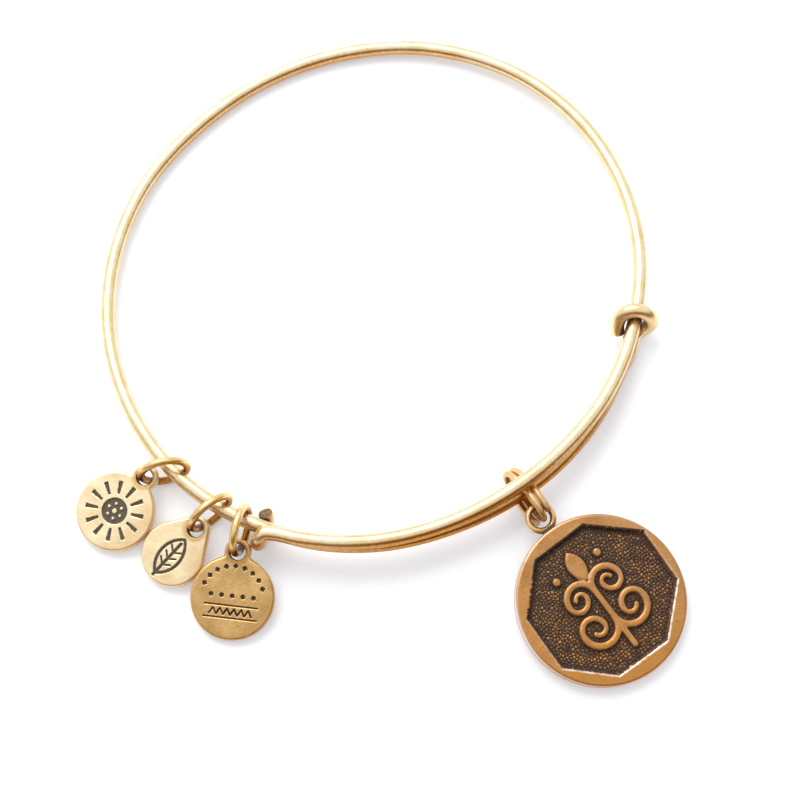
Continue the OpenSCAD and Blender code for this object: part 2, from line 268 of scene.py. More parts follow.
GOLD = metal(
    "antique_gold", light=(0.97, 0.81, 0.52), deep=(0.90, 0.66, 0.33),
    tarnish_and_shade=(0.52, 0.22, 0.03), patina_and_shade=(0.15, 0.085, 0.04),
    rough=0.22, grain=0.60, specks=0.24, dark_metallic=0.5,
)
RING_GOLD = metal(
    "ring_gold", light=(0.97, 0.73, 0.36), deep=(0.86, 0.55, 0.19),
    tarnish_and_shade=(0.40, 0.17, 0.03), patina_and_shade=(0.12, 0.07, 0.04),
    rough=0.25, grain=0.50, specks=0.20, dark_metallic=0.5,
)
LINK_GOLD = metal(
    "link_gold", light=(0.90, 0.65, 0.33), deep=(0.72, 0.44, 0.17),
    tarnish_and_shade=(0.40, 0.18, 0.04), patina_and_shade=(0.10, 0.065, 0.04),
    rough=0.30, grain=0.55, specks=0.45, mottle=0.65,
)
PALE = metal(
    "pale_gold", light=(0.97, 0.81, 0.53), deep=(0.87, 0.67, 0.38),
    tarnish_and_shade=(0.62, 0.34, 0.09), patina_and_shade=(0.12, 0.10, 0.07),
    rough=0.38, grain=0.40, specks=0.07,
)
BRONZE = metal(
    "bronze_gold", light=(0.76, 0.48, 0.19), deep=(0.46, 0.27, 0.10),
    tarnish_and_shade=(0.42, 0.21, 0.06), patina_and_shade=(0.065, 0.05, 0.038),
    rough=0.40, grain=0.50, specks=0.35, mottle=0.7,
)
# Its polish colour, a bluish white, paints the highlight on the pendant's lit border and left outer
# edge, and colours the worn scroll edges
COPPER = metal(
    "copper_bronze", light=(0.57, 0.295, 0.11), deep=(0.46, 0.21, 0.066),
    tarnish_and_shade=(0.58, 0.25, 0.055), patina_and_shade=(0.052, 0.034, 0.025), polish_and_highlight=(0.94, 0.92, 0.87),
    rough=0.36, grain=0.45, specks=0.50, dark_metallic=0.7,
)

# Meshes

def rise(x, low, high):
    """Smoothly from 0 at low to 1 at high; fade goes from 1 to 0."""
    t = np.clip((x - low) / (high - low), 0, 1)
    return t * t * (3 - 2 * t)

def fade(x, low, high):
    return 1 - rise(x, low, high)

def band(x, low, full, fading, gone):
    """Rises from low to full and falls again from fading to gone."""
    return rise(x, low, full) * fade(x, fading, gone)

def finish_mesh(mesh, material, patina_and_shade, wear_and_highlight, tarnish_and_shade):
    """Gives a mesh smooth shading, its material, and the marks at each of its points."""
    mesh.polygons.foreach_set("use_smooth", [True] * len(mesh.polygons))
    for name, values in (("patina_and_shade", patina_and_shade), ("wear_and_highlight", wear_and_highlight), ("tarnish_and_shade", tarnish_and_shade)):
        attribute = mesh.attributes.new(name, "FLOAT", "POINT")
        attribute.data.foreach_set("value", np.asarray(values, np.float32))
    mesh.materials.clear()
    mesh.materials.append(material)

def add_piece(name, points, faces, material, node, patina_and_shade, wear_and_highlight, tarnish_and_shade):
    """Adds a mesh given in millimetres in the bracelet's frame, standing for a CAD node."""
    mesh = bpy.data.meshes.new(name)
    mesh.from_pydata((points * MM).tolist(), [], faces)
    mesh.validate()
    finish_mesh(mesh, material, patina_and_shade, wear_and_highlight, tarnish_and_shade)
    piece = added(name, mesh)
    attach(piece, "root")
    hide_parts(node)

def rotation(x=0.0, y=0.0, z=0.0):
    """Turns about X, then Y, then Z, as a matrix for column vectors."""
    cx, cy, cz = (math.cos(math.radians(v)) for v in (x, y, z))
    sx, sy, sz = (math.sin(math.radians(v)) for v in (x, y, z))
    about_x = np.array([[1, 0, 0], [0, cx, -sx], [0, sx, cx]])
    about_y = np.array([[cy, 0, sy], [0, 1, 0], [-sy, 0, cy]])
    about_z = np.array([[cz, -sz, 0], [sz, cz, 0], [0, 0, 1]])
    return about_z @ about_y @ about_x

# Round wires

# A cut end has a few uneven facets and small chips, and a bevel in steps of these turns
CUT_FACETS = 5
FACET_SLOPE = 0.5
CHIP_SPREAD = 0.22
BEVEL_TURNS = (30, 60)
# How far the face of a cut end and its bevel count as cut
FACE_CUT = 1.0
BEVEL_CUT = 0.35
# The way to the viewer's side and down, where the wires get a painted dark reflection
FLANK_WAY = np.array([0.30, -0.91, -0.28])
# How many points' distances to a path are worked out at a time
CREVICE_BATCH = 2000

def lengths(path):
    """How far along a path each of its points is."""
    return np.concatenate([[0], np.cumsum(np.linalg.norm(np.diff(path, axis=0), axis=1))])

def ways_along(path):
    """At each point of a path, the way along it and two ways across it, carried along it."""
    along = np.gradient(path, axis=0)
    along /= np.linalg.norm(along, axis=1, keepdims=True)
    way = np.cross(along[0], [0.1, 0.2, 1.0])
    ways = []
    for direction in along:
        way = way - (way @ direction) * direction
        way = way / np.linalg.norm(way)
        ways.append(way)
    ways = np.array(ways)
    return along, ways, np.cross(along, ways)

def tube_faces(count, sides):
    """Faces between rings of points, and over both ends, whose middles are the last points."""
    faces = []
    for i in range(count - 1):
        for k in range(sides):
            n = (k + 1) % sides
            faces.append((i * sides + k, i * sides + n, (i + 1) * sides + n, (i + 1) * sides + k))
    first, last = count * sides, count * sides + 1
    top = (count - 1) * sides
    for k in range(sides):
        n = (k + 1) % sides
        faces.append((first, n, k))
        faces.append((last, top + k, top + n))
    return faces

def sweep(path, radius, sides, bevel, chip, cap_rings=2):
    """A round wire along a path, with bevelled and chipped ends. Returns points, faces, how far
    each point belongs to a cut end, and the ways out of the wire."""
    along, ways, across = ways_along(path)
    turns = 2 * np.pi * np.arange(sides) / sides
    rings, cut, out = [], [], []

    def ring(i, centre, r, amount):
        way = np.cos(turns)[:, None] * ways[i] + np.sin(turns)[:, None] * across[i]
        rings.append(centre + r * way)
        out.append(way)
        cut.append(np.full(sides, amount))

    def cap(i, sign):
        """The rings of one end; sign is -1 where the path starts and 1 where it ends."""
        facets = RNG.normal(0, FACET_SLOPE, (CUT_FACETS, 2))
        steps = [((radius - bevel) * k / cap_rings, 0.0, FACE_CUT) for k in range(1, cap_rings + 1)]
        for turn in BEVEL_TURNS:
            a = math.radians(turn)
            steps.append((radius - bevel + bevel * math.sin(a), bevel * (1 - math.cos(a)), BEVEL_CUT))
        for r, back, amount in steps[::-sign]:
            ring(i, path[i] - sign * back * along[i], r, amount)
            if amount == FACE_CUT:
                from_middle = rings[-1] - path[i]
                spot = np.stack([from_middle @ ways[i], from_middle @ across[i]], 1) / radius
                deep = np.maximum((spot @ facets.T).max(1), 0) + RNG.uniform(0, CHIP_SPREAD, sides)
                rings[-1] = rings[-1] - sign * chip * np.minimum(deep, 1)[:, None] * along[i]

    length = lengths(path)
    cap(0, -1)
    for i in np.where((length > bevel) & (length < length[-1] - bevel))[0]:
        ring(i, path[i], radius, 0.0)
    cap(len(path) - 1, 1)
    points = np.vstack(rings + [path[:1], path[-1:]])
    cut = np.concatenate(cut + [[FACE_CUT, FACE_CUT]])
    out = np.vstack(out + [-along[:1], along[-1:]])
    return points, tube_faces(len(rings), sides), cut, out

def flank(out, low=0.25, high=0.85):
    """How far a way out of a wire faces the viewer's side and down, where the painted dark reflection
    goes.
    """
    return rise(out @ FLANK_WAY, low, high)

def inwardness(points, out, middle):
    """How far each way out of a ring's wire points to the ring's middle."""
    way_in = middle - points
    way_in /= np.linalg.norm(way_in, axis=1, keepdims=True)
    return (out * way_in).sum(1)

def crevice(points, path, radius, near):
    """How close each point of a wire comes to another stretch of the same wire."""
    length = lengths(path)
    gaps = np.empty(len(points))
    for start in range(0, len(points), CREVICE_BATCH):
        some = points[start : start + CREVICE_BATCH]
        away = np.linalg.norm(some[:, None] - path[None], axis=2)
        own = length[away.argmin(1)]
        away[np.abs(length[None] - own[:, None]) < 4 * radius] = 1e3
        gaps[start : start + CREVICE_BATCH] = away.min(1) - radius
    return fade(gaps, 0.1, near)

# Bangle wire

WIRE_D = 1.7
HOOP_R = 32.2
WRAP_GAP = 0.15
# Columns: turn, distance outside HOOP_R, height of the wire's middle
STRAND_ROWS = [
    [254, 0.12, 4.80], [270, -0.80, 4.90], [286, -1.75, 5.10], [302, -2.35, 5.40], [316, -2.60, 4.60],
    [330, -2.35, 3.70], [343, -1.95, 3.00], [352, -1.60, 2.82], [368, -0.65, 2.55], [382, 0.10, 2.30],
    [401, 1.00, 1.90], [420, 1.35, 1.50], [440, 0.90, 1.15], [460, -0.05, 0.93], [477, -0.70, 0.87],
    [495, -1.05, 0.93], [513, -0.70, 1.10], [532, -0.40, 1.40], [552, -0.05, 1.75], [571, 0.15, 2.15],
    [589, 0.25, 2.60], [598, 0.10, 2.78], [606, -0.15, 2.85], [616, -0.30, 2.78], [630, -0.90, 2.55],
    [646, -1.70, 2.35], [662, -2.05, 2.22], [676, -2.18, 1.70], [690, -2.15, 1.20], [701, -1.92, 0.93],
]
# Columns: turn, distance outside HOOP_R, height, slack beyond WRAP_GAP
LEFT_WRAP_AT = [246, -0.15, 2.85, 0.00]
RIGHT_WRAP_AT = [352, -1.60, 2.82, 0.12]
# Columns: distance along the strand inside, angle round it
LEFT_WRAP_ROWS = [
    [0.30, -164], [0.05, -142], [-0.20, -115], [-0.38, -80],
    [-0.46, -42], [-0.48, -2], [-0.58, 36], [-1.02, 64], [-1.90, 75],
]
RIGHT_WRAP_ROWS = [
    [-2.60, -85], [-1.35, -80], [-0.65, -62], [-0.25, -30], [0.00, 5], [0.22, 42],
    [0.38, 80], [0.25, 117], [-0.20, 152], [-0.95, 182], [-1.70, 208],
]
WIRE_STEP = 0.35
WIRE_SIDES = 36
WIRE_BEVEL = 0.13
WIRE_CHIP = 0.2
WIRE_CAP_RINGS = 5
# The gap between two stretches of the wire that is wide enough to leave them without patina and
# painted shade
WIRE_CREVICE = 1.15
# The distances from the right wrap's middle over which its coil's weaker painted flank reflection
# gives way to the full one
LESS_SHADED_WRAP = (2.7, 3.5)

def on_hoop(row):
    a = math.radians(row[0])
    r = HOOP_R + row[1]
    return np.array([r * math.cos(a), r * math.sin(a), row[2]])

def on_wrap(place, side, row):
    a, b = math.radians(place[0]), math.radians(row[1])
    wrap_r = WIRE_D + WRAP_GAP + place[3]
    return (
        on_hoop(place)
        + side * row[0] * np.array([-math.sin(a), math.cos(a), 0])
        + wrap_r * math.cos(b) * np.array([math.cos(a), math.sin(a), 0])
        + wrap_r * math.sin(b) * np.array([0, 0, 1])
    )

def smooth_path(nodes, step):
    """The part's smooth curve through the nodes, in finer steps."""
    p = np.asarray(nodes, float)
    gaps = np.linalg.norm(np.diff(p, axis=0), axis=1)
    units = np.diff(p, axis=0) / gaps[:, None]
    slopes = [units[0]]
    for i in range(1, len(p) - 1):
        slopes.append((units[i - 1] * gaps[i] + units[i] * gaps[i - 1]) / (gaps[i - 1] + gaps[i]))
    slopes.append(units[-1])
    path = []
    for i, gap in enumerate(gaps):
        for t in np.arange(0, 1, 1 / max(2, math.ceil(gap / step))):
            path.append(
                (2 * t**3 - 3 * t**2 + 1) * p[i]
                + (t**3 - 2 * t**2 + t) * slopes[i] * gap
                + (3 * t**2 - 2 * t**3) * p[i + 1]
                + (t**3 - t**2) * slopes[i + 1] * gap
            )
    return np.array(path + [p[-1]])

def make_wire():
    nodes = (
        [on_wrap(LEFT_WRAP_AT, -1, row) for row in LEFT_WRAP_ROWS]
        + [on_hoop(row) for row in STRAND_ROWS]
        + [on_wrap(RIGHT_WRAP_AT, 1, row) for row in RIGHT_WRAP_ROWS]
    )
    path = smooth_path(nodes, WIRE_STEP) + HOOP_AT
    points, faces, cut, out = sweep(
        path, WIRE_D / 2, WIRE_SIDES, WIRE_BEVEL, WIRE_CHIP, WIRE_CAP_RINGS
    )
    x, y, z = points.T
    # Patina and painted shade in the crevices where the wire comes close to itself
    inside = crevice(points, path, WIRE_D / 2, WIRE_CREVICE)
    # The painted dark reflection on the flank is broader towards the viewer, and most of all at the
    # right there
    near_side = rise(-y, 0.0, 26.0) * (0.32 + 0.68 * rise(x, -14.0, 14.0))
    sides = (1 - near_side) * flank(out) + near_side * flank(out, -0.05, 0.42)
    # The right wrap's coil gets less of the painted flank reflection
    from_wrap = np.linalg.norm(points - HOOP_AT - on_hoop(RIGHT_WRAP_AT), axis=1)
    sides = sides * (1 - 0.55 * fade(from_wrap, *LESS_SHADED_WRAP))
    # The lower strand gets painted shade along its stretch beside the upper one
    top_of_lower = 1.9 + 1.4 * rise(-y, 2.0, 9.0)
    beside = fade(z - top_of_lower, 0.0, 0.3) * rise(x, 0.0, 14.0)
    beside = beside * rise(-y, 0.0, 3.0)
    # The flank's painted dark reflection and the crevices' painted shade make the wire browner, more
    # so towards the viewer
    brown = (0.75 + 0.25 * near_side) * np.maximum(sides, inside)
    add_piece(
        "bangle_wire_smooth", points, faces, GOLD, "bangle_wire",
        patina_and_shade=np.maximum.reduce([0.70 * cut, 0.92 * inside**1.8, 0.14 * beside]),
        wear_and_highlight=0 * cut,
        tarnish_and_shade=np.clip(0.14 * near_side + brown + 0.5 * beside, 0, 1),
    )

make_wire()

# Jump rings

RING_D = 6.15
RING_WIRE_D = 0.85
RING_CUT = 2.5
# Columns: x and y of the middle, facing, lean from upright, place of the fine cut
RING_STANDS = {
    "sun_charm_ring": [-24.20, -22.82, 13.2, -7.3, -75],
    "drop_charm_ring": [-18.78, -27.68, 39.4, -4.8, -45],
    "lined_charm_ring": [-15.24, -29.72, 76.2, -7.0, -35],
}
# Columns: x and y of the middle of the charm's hole that the ring goes through
RING_HOLES = {
    "sun_charm_ring": [-26.2, -23.3],
    "drop_charm_ring": [-20.2, -29.3],
    "lined_charm_ring": [-15.5, -31.9],
}
RING_STEPS = 200
RING_BEVEL = 0.05
# How far a ring's wire stands out of its solid's wire
RING_SWELL = 0.02
# The rings' wire and the link's
THIN_WIRE_SIDES = 28
THIN_WIRE_CHIP = 0.02

def make_jump_ring(node):
    x, y, facing, lean, cut_at = RING_STANDS[node]
    ring_r = (RING_D - RING_WIRE_D) / 2
    height = ring_r * math.cos(math.radians(lean)) + RING_WIRE_D / 2
    turns = np.radians(np.linspace(cut_at + RING_CUT / 2, cut_at + 360 - RING_CUT / 2, RING_STEPS))
    flat = np.stack([ring_r * np.cos(turns), ring_r * np.sin(turns), 0 * turns], 1)
    path = flat @ rotation(x=90 + lean, z=facing).T + HOOP_AT + [x, y, height]
    points, faces, cut, out = sweep(
        path, RING_WIRE_D / 2 + RING_SWELL, THIN_WIRE_SIDES, RING_BEVEL, THIN_WIRE_CHIP
    )
    # Painted shade on the ring's inner side and a painted dark reflection on its flank
    inner = rise(inwardness(points, out, path.mean(0)), 0.1, 0.8)
    # Painted shade where the ring goes through the charm's hole
    from_hole = np.linalg.norm(points[:, :2] - HOOP_AT[:2] - RING_HOLES[node], axis=1)
    in_hole = fade(from_hole, 0.8, 1.9) * fade(points[:, 2], 1.4, 2.8)
    add_piece(
        node + "_smooth", points, faces, RING_GOLD, node,
        patina_and_shade=np.maximum(0.8 * cut, 0.6 * in_hole),
        wear_and_highlight=0 * cut,
        tarnish_and_shade=np.maximum.reduce([inner, 0.9 * flank(out), in_hole]),
    )

for ring_node in RING_STANDS:
    make_jump_ring(ring_node)

# The pendant's link, an oval of nearly two turns side by side

OVAL_LONG = 3.5
OVAL_SHORT = 1.75
OVAL_WIRE_D = 0.75
OVAL_AT = [17.10, -25.54, 2.38]
OVAL_FACING = -58.5
OVAL_LEAN = -5.7
OVAL_TILT = 15.5
OVAL_TURNS = 1.9
OVAL_START = 20
OVAL_PITCH = OVAL_WIRE_D + 0.1
OVAL_STEPS = 260
OVAL_BEVEL = 0.08
# The way from the link's middle to its end in the eyelet
OVAL_HANGS = np.array([0.52, -0.85, 0.0])

def make_link():
    share = np.linspace(0, 1, OVAL_STEPS)
    turns = np.radians(OVAL_START + 360 * OVAL_TURNS * share)
    climb = OVAL_PITCH * OVAL_TURNS * (share - 0.5)
    oval = np.stack([OVAL_LONG * np.cos(turns), OVAL_SHORT * np.sin(turns), climb], 1)
    turn = rotation(x=90 + OVAL_LEAN, z=OVAL_FACING) @ rotation(z=OVAL_TILT)
    path = oval @ turn.T + HOOP_AT + OVAL_AT
    points, faces, cut, out = sweep(
        path, OVAL_WIRE_D / 2, THIN_WIRE_SIDES, OVAL_BEVEL, THIN_WIRE_CHIP
    )
    middle = path.mean(0)
    # Painted shade on the link's inner side and a painted dark reflection on its flank
    inner = rise(inwardness(points, out, middle), 0.0, 0.7)
    # Darker and browner at the end that hangs in the eyelet
    hung = rise((points - middle) @ OVAL_HANGS / OVAL_LONG, 0.30, 0.95)
    add_piece(
        "pendant_ring_smooth", points, faces, LINK_GOLD, "pendant_ring",
        patina_and_shade=np.maximum(0.35 * cut, 0.22 * hung),
        wear_and_highlight=0 * cut,
        tarnish_and_shade=np.maximum.reduce([inner, 0.7 * flank(out), 0.6 * hung]),
    )

make_link()

# Flat shapes: each gives distances, below zero inside the shape; p has one point a row

def circle(p, centre, radius):
    return np.hypot(p[:, 0] - centre[0], p[:, 1] - centre[1]) - radius

def bar(p, start, end, width):
    """A straight bar with round ends."""
    start, end = np.array(start, float), np.array(end, float)
    way = end - start
    t = np.clip(((p - start) @ way) / (way @ way), 0, 1)
    return np.linalg.norm(p - start - t[:, None] * way, axis=1) - width / 2

def arc(p, centre, radius, start, end, width):
    """A bent bar with round ends, over the angles from start to end."""
    q = p - np.array(centre)
    low, high = math.radians(min(start, end)), math.radians(max(start, end))
    turn = np.mod(np.arctan2(q[:, 1], q[:, 0]) - low, 2 * np.pi) + low
    on = np.abs(np.hypot(q[:, 0], q[:, 1]) - radius)
    tips = [(radius * math.cos(a), radius * math.sin(a)) for a in (low, high)]
    ends = [circle(q, tip, 0) for tip in tips]
    return np.where(turn <= high, on, np.minimum(*ends)) - width / 2

def convex(p, corners):
    """A convex polygon whose corners go anticlockwise."""
    far = np.full(len(p), -1e9)
    for a, b in zip(corners, corners[1:] + corners[:1]):
        a, b = np.array(a, float), np.array(b, float)
        way = (b - a) / np.linalg.norm(b - a)
        far = np.maximum(far, (p - a) @ np.array([way[1], -way[0]]))
    return far

def lens(p, y, radius, half):
    """The shape between two arcs that meet in points above and below."""
    centre = math.sqrt(radius * radius - half * half)
    return np.maximum(circle(p, (-centre, y), radius), circle(p, (centre, y), radius))

def lozenge(p, half):
    return (np.abs(p[:, 0]) + np.abs(p[:, 1]) - half) / math.sqrt(2)

def union(*distances):
    return np.minimum.reduce(distances)

def soft_union(a, b, blend):
    h = np.clip(0.5 + 0.5 * (b - a) / blend, 0, 1)
    return b * (1 - h) + a * h - blend * h * (1 - h)

def polar(radius, degrees):
    return radius * math.cos(math.radians(degrees)), radius * math.sin(math.radians(degrees))

def turned_back(p, degrees):
    """Points turned clockwise, so that a shape drawn along X comes to stand at this angle."""
    c, s = polar(1, degrees)
    return p @ np.array([[c, -s], [s, c]])

def gradient(distance, p, step=1e-3):
    """The way straight out of a shape, at each point."""
    x, y = np.array([step, 0]), np.array([0, step])
    slope = np.stack([distance(p + x) - distance(p - x), distance(p + y) - distance(p - y)], 1)
    return slope / np.maximum(np.linalg.norm(slope, axis=1, keepdims=True), 1e-9)

def moved_to(distance, p, target):
    """Points moved straight to where the distance has the target value."""
    for _ in range(3):
        p = p - gradient(distance, p) * (distance(p) - target)[:, None]
    return p

def clouds(p, scale, seed):
    """Smooth random waves of about unit height, for slight dents and unevenness."""
    waves = 14
    rng = np.random.default_rng(seed)
    total = np.zeros(len(p))
    for _ in range(waves):
        a = rng.uniform(0, 2 * np.pi)
        f = rng.uniform(0.6, 1.6) * 2 * np.pi / scale
        total += np.sin(f * (p @ [math.cos(a), math.sin(a)]) + rng.uniform(0, 2 * np.pi))
    return total / math.sqrt(waves)

# Plates

# The turns at which the rounded edge of an outline or of a hole has a row of points
EDGE_TURNS = np.radians([0, 25, 45, 62, 78, 90])
HOLE_TURNS = np.radians([0, 40, 68, 90])
HOLE_EDGE = 0.16
HOLE_POINTS = 84
OUTLINE_RAYS = 2400
# More than the radius of the largest plate
OUTLINE_REACH = 15.0
# A triangle whose middle is this near the outline is a sliver along a straight side
SLIVER = 0.002

def rounding(inside, edge):
    """How far a rounded edge drops at a distance inside an outline."""
    x = np.clip(edge - inside, 0, edge)
    return edge - np.sqrt(edge * edge - x * x)

def outline_points(distance, spacing):
    """Even points round a shape that every ray from the middle leaves once."""
    turns = np.linspace(0, 2 * np.pi, OUTLINE_RAYS, endpoint=False)
    rays = np.stack([np.cos(turns), np.sin(turns)], 1)
    low, high = np.zeros(len(turns)), np.full(len(turns), OUTLINE_REACH)
    for _ in range(40):
        middle = (low + high) / 2
        inside = distance(rays * middle[:, None]) < 0
        low, high = np.where(inside, middle, low), np.where(inside, high, middle)
    line = rays * low[:, None]
    closed = np.vstack([line, line[:1]])
    length = lengths(closed)
    places = np.linspace(0, length[-1], int(length[-1] / spacing), endpoint=False)
    return np.stack([np.interp(places, length, closed[:, k]) for k in (0, 1)], 1)

def hex_grid(low, high, spacing):
    """Points in rows, every second row half a step further on."""
    rows = np.arange(low[1], high[1], spacing * math.sqrt(3) / 2)
    columns = np.arange(low[0], high[0], spacing)
    grid = []
    for i, y in enumerate(rows):
        grid.append(np.stack([columns + spacing / 2 * (i % 2), np.full(len(columns), y)], 1))
    return np.vstack(grid)

def triangulated(rings, inner, keep):
    """Flat points, the triangles over the rings and inner points whose middles keep says to
    keep, and each ring's indices among the points."""
    every = np.vstack(rings + [inner])
    verts, _, faces, origin, _, _ = geometry.delaunay_2d_cdt(
        [Vector(v) for v in every.tolist()], [], [], 0, 1e-6, True
    )
    flat = np.array([tuple(v) for v in verts])
    new_index = {}
    for i, sources in enumerate(origin):
        for source in sources:
            new_index[source] = i
    faces = np.array(faces)
    faces = faces[keep(flat[faces].mean(1))]
    starts = np.cumsum([0] + [len(r) for r in rings])
    own = [[new_index[k] for k in range(a, b)] for a, b in zip(starts[:-1], starts[1:])]
    return flat, faces, own

def plate(outline, hole, thick, edge, spacing, top, relief, walls):
    """A flat metal piece: outline and relief are distances, hole is (centre, radius) or None,
    top gives the height that its upper face has beyond the rounded plate.
    Points near the relief's walls are moved onto them. Returns points, faces, flat points and the
    count of upper points."""
    row = outline_points(outline, spacing * 1.2)
    offsets = edge * (1 - np.cos(EDGE_TURNS[1:]))
    rings = [row] + [moved_to(outline, row, -offset) for offset in offsets]
    hole_rings = []
    if hole is not None:
        centre, radius = np.array(hole[0]), hole[1]
        turns = np.linspace(0, 2 * np.pi, HOLE_POINTS, endpoint=False)
        way = np.stack([np.cos(turns), np.sin(turns)], 1)
        for offset in HOLE_EDGE * (1 - np.cos(HOLE_TURNS)):
            hole_rings.append(centre + way * (radius + offset))

    def inside(p):
        good = outline(p) < -SLIVER
        return good & (circle(p, centre, radius) > 0) if hole is not None else good

    def filled(step, snap):
        grid = hex_grid(row.min(0), row.max(0), step)
        grid = grid[outline(grid) < -edge - 0.4 * step]
        if hole is not None:
            grid = grid[circle(grid, centre, radius + HOLE_EDGE) > 0.4 * step]
        for target in walls if snap else ():
            near = np.abs(relief(grid) - target) < 0.5 * step
            grid[near] = moved_to(relief, grid[near], target)
        return triangulated(rings + hole_rings, grid, inside)

    def drop(p):
        d = rounding(np.maximum(-outline(p), 0), edge)
        if hole is not None:
            d = d + rounding(np.maximum(circle(p, centre, radius), 0), HOLE_EDGE)
        return d

    upper, upper_faces, upper_rings = filled(spacing, True)
    lower, lower_faces, lower_rings = filled(3 * spacing, False)
    upper_z = thick - drop(upper) + top(upper)
    lower_z = drop(lower)
    count = len(upper)
    points = np.vstack([np.column_stack([upper, upper_z]), np.column_stack([lower, lower_z])])
    faces = [tuple(f) for f in upper_faces.tolist()]
    faces += [(a + count, c + count, b + count) for a, b, c in lower_faces.tolist()]
    loops = [(upper_rings[0], lower_rings[0], 1)]
    if hole is not None:
        loops.append((upper_rings[len(rings)], lower_rings[len(rings)], -1))
    for above, below, sign in loops:
        for k in range(len(above)):
            n = (k + 1) % len(above)
            quad = (above[k], below[k] + count, below[n] + count, above[n])
            faces.append(quad[::sign])
    return points, faces, np.vstack([upper, lower]), count

def lying(lie, edge_r, edge):
    """The turn and the place of a plate on its far edge, with its hole end lifted, as in the
    source. A lie is x, y, the way to the hole, the way that is lifted, and the lift."""
    x, y, hole_way, lift_way, lift = lie
    up = math.radians(lift)
    rest = (edge_r - edge) * math.sin(up) + edge * (1 - math.cos(up))
    turn = rotation(z=lift_way) @ rotation(y=-lift) @ rotation(z=hole_way - 90 - lift_way)
    return turn, HOOP_AT + [x, y, rest]

def laid(points, lie, edge_r, edge):
    turn, place = lying(lie, edge_r, edge)
    return points @ turn.T + place

# Small charms

CHARM_T = 1.2
CHARM_EDGE = 0.3
CHARM_HOLE_R = 1.85 / 2
CHARM_SPACING = 0.062
CUT_DEPTH = 0.22
# Half of the width that the wall of a cut takes up
WALL = 0.045
TAB_R = 3.0 / 2
TAB_BLEND = 0.5
# Ways in the bracelet's frame: to the charms' lower side and to their right side, away from the light,
# where the edges get less painted highlight and the right side gets painted shade
CHARM_LOW_WAY = np.array([0.35, -0.94])
CHARM_RIGHT_WAY = np.array([0.92, -0.39])

def tabbed(d, hole_y):
    """The outline of a round charm with a tab round its hole."""
    return lambda p: soft_union(circle(p, (0, 0), d / 2), circle(p, (0, hole_y), TAB_R), TAB_BLEND)

def make_charm(node, material, lie, edge_r, outline, hole_y, cuts, seed):
    hole = ((0, hole_y), CHARM_HOLE_R)

    def top(p):
        depth = CUT_DEPTH * fade(cuts(p), -WALL, WALL)
        calm = rise(-outline(p), 0.2, 0.8)
        return -depth + calm * 0.012 * clouds(p, 3.2, seed) + calm * 0.004 * clouds(p, 0.7, seed + 1)

    points, faces, flat, count = plate(
        outline, hole, CHARM_T, CHARM_EDGE, CHARM_SPACING, top, cuts, (-WALL, WALL)
    )
    placed = laid(points, lie, edge_r, CHARM_EDGE)
    upper = np.arange(len(flat)) < count
    from_cut, from_hole = cuts(flat), circle(flat, *hole)
    edge = fade(-outline(flat), 0.0, 0.35)
    way = (placed[:, :2] - HOOP_AT[:2] - lie[:2]) / edge_r
    low = way @ CHARM_LOW_WAY
    right = rise(way @ CHARM_RIGHT_WAY, 0.25, 0.85)
    # Patina fills the cuts, and painted shade lines the hole
    patina_and_shade = np.where(upper, 0.8 * fade(from_cut, -0.02, 0.07), 0)
    patina_and_shade = np.maximum(patina_and_shade, 0.8 * fade(from_hole, 0.0, 0.2))
    # The edges are rubbed bright and carry a painted highlight, less so below and at the right, away
    # from the light
    beside_cut = band(from_cut, 0.03, 0.06, 0.06, 0.16)
    dull = np.maximum(rise(low, -0.3, 0.5), right)
    wear_and_highlight = np.maximum(np.where(upper, 0.5 * beside_cut, 0), edge * (0.7 - 0.55 * dull))
    # Browner below, down the sides, round the hole and in random clouds, with painted shade at the
    # right
    tarnish_and_shade = 0.20 * rise(low, -0.3, 1.0) + 0.16 * right + 0.12 * clouds(flat, 5.0, seed + 2)
    side = rise(CHARM_T - points[:, 2], 0.1, 0.5)
    round_hole = fade(from_hole, 0.1, 0.95)
    tarnish_and_shade = np.maximum.reduce([tarnish_and_shade, 0.95 * side, 0.85 * round_hole, 0.75 * edge * right])
    add_piece(
        node + "_smooth", placed, faces, material, node, patina_and_shade, wear_and_highlight, np.clip(tarnish_and_shade, 0, 1)
    )

# Sun charm

SUN_D = 9.2
SUN_HOLE_Y = 5.12
SUN_FIELD_R = 1.5
SUN_MIDDLE_BEAD_R = 0.29
SUN_BEAD_R = 0.18
SUN_BEADS_AT = 0.85
SUN_BEADS = 6
SUN_RAYS = 12
SUN_RAY = [(2.0, -0.13), (3.45, -0.24), (3.45, 0.24), (2.0, 0.13)]

def sun_cuts(p):
    """A round field with beads left standing in it, and rays round it."""
    beads = [circle(p, (0, 0), SUN_MIDDLE_BEAD_R)]
    for k in range(SUN_BEADS):
        beads.append(circle(p, polar(SUN_BEADS_AT, k * 360 / SUN_BEADS), SUN_BEAD_R))
    field = np.maximum(circle(p, (0, 0), SUN_FIELD_R), -union(*beads))
    rays = [convex(turned_back(p, k * 360 / SUN_RAYS), SUN_RAY) for k in range(SUN_RAYS)]
    return union(field, *rays)

make_charm(
    "sun_charm", PALE, lie=[-29.65, -27.05, 47.2, 53, 12.7], edge_r=SUN_D / 2,
    outline=tabbed(SUN_D, SUN_HOLE_Y), hole_y=SUN_HOLE_Y, cuts=sun_cuts, seed=11,
)

# Drop charm

DROP_R = 3.7
DROP_TOP_R = 1.55
DROP_HOLE_Y = 3.88
LEAF_Y = -0.35
LEAF_R = 3.1
LEAF_HALF = 2.5
LEAF_LINE = 0.32
LEAF_STEM = ((0, -2.8), (0, 1.9))
VEIN_YS = (-1.3, -0.4, 0.5)
VEIN_OUT = 0.75
VEIN_UP = 0.6
VEIN_LINE = 0.2

